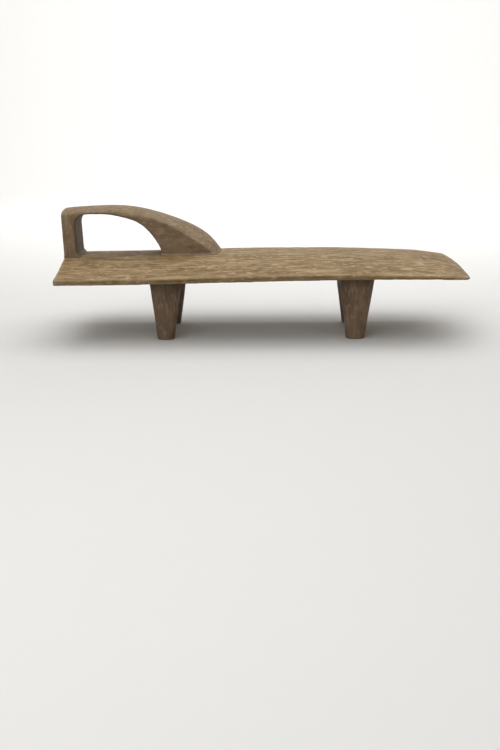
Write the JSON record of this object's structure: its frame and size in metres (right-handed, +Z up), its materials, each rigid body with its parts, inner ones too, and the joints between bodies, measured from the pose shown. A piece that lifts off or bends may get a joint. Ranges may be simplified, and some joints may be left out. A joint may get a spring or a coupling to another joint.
{
  "type": "headrest",
  "caption": "Carved wooden headrest: a long crowned slab on short tapered legs, with an arched rest that rises from one end and sweeps down to the middle",
  "frame": {"origin": "on the ground, under the middle of the object's box", "axes": "+X along the slab towards its plain rounded end, the arch rising at -X; +Y across to the far side; +Z up"},
  "size_m": [0.878, 0.38, 0.2838],
  "materials": {
    "slab_wood": "hand-adzed pale brown hardwood, dry and satin, worn smooth and greyer on the crown",
    "arch_wood": "hand-adzed brown hardwood, satin, darker on its upright faces",
    "leg_wood": "hand-adzed darker brown hardwood, dry and matte"
  },
  "bodies": {
    "root": {"seat_slab": "slab_wood", "headrest_arch": "arch_wood", "leg_front_left": "leg_wood", "leg_front_right": "leg_wood", "leg_rear_left": "leg_wood", "leg_rear_right": "leg_wood"}
  },
  "joints": []
}
